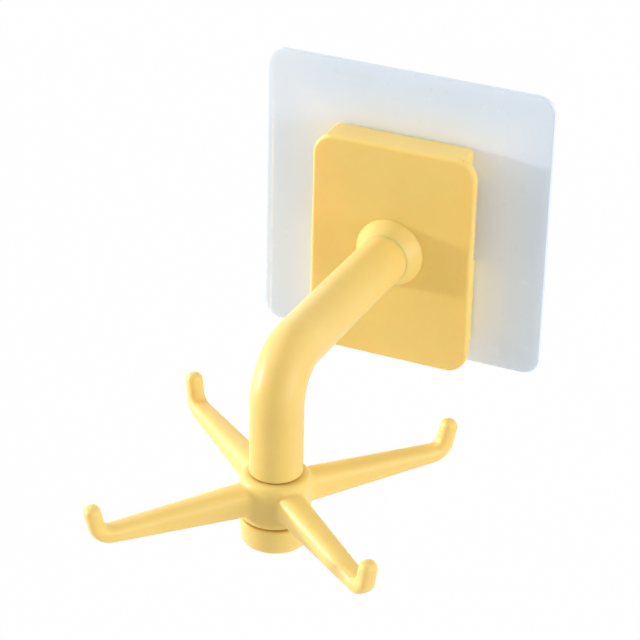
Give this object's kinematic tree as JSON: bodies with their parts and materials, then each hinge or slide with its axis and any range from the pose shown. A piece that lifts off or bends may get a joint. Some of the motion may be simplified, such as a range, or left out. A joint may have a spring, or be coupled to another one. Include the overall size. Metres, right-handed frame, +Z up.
{
  "type": "kitchen hook rack",
  "caption": "Adhesive wall rack with a bent arm that carries a turning hub of upturned hooks for kitchen utensils.",
  "frame": {"origin": "middle of the adhesive pad's back face, on the wall", "axes": "+Y into the wall, -Y out into the room, +Z up, +X to the right seen from the room"},
  "size_m": [0.08, 0.122, 0.0951],
  "materials": {
    "adhesive_film": "clear soft adhesive",
    "backing_sheet": "translucent bluish white film sheet",
    "bracket_bond_film": "clear bond film",
    "wall_bracket": "satin yellow moulding",
    "cover_plate": "satin yellow moulding",
    "hook_arm": "satin yellow moulding",
    "arm_washer": "plain steel",
    "arm_screw": "plain steel",
    "upper_thrust_washer": "amber nylon",
    "lower_thrust_washer": "amber nylon",
    "end_cap": "satin yellow moulding",
    "cap_screw": "plain steel",
    "hook_spider": "satin yellow moulding"
  },
  "bodies": {
    "wall_base": {"adhesive_film": "adhesive_film", "backing_sheet": "backing_sheet", "bracket_bond_film": "bracket_bond_film", "wall_bracket": "wall_bracket"},
    "hook_frame": {"cover_plate": "cover_plate", "hook_arm": "hook_arm", "arm_washer": "arm_washer", "arm_screw": "arm_screw", "upper_thrust_washer": "upper_thrust_washer", "lower_thrust_washer": "lower_thrust_washer", "end_cap": "end_cap", "cap_screw": "cap_screw"},
    "spider": {"hook_spider": "hook_spider"}
  },
  "joints": [
    {"name": "plate_slide", "type": "slide", "parent": "wall_base", "child": "hook_frame", "axis": [0, 0, 1], "range_m": [0, 0.026]},
    {"name": "hub_spin", "type": "hinge", "parent": "hook_frame", "child": "spider", "pos_m": [0, -0.0822, -0.04195], "axis": [0, 0, 1], "continuous": true}
  ]
}
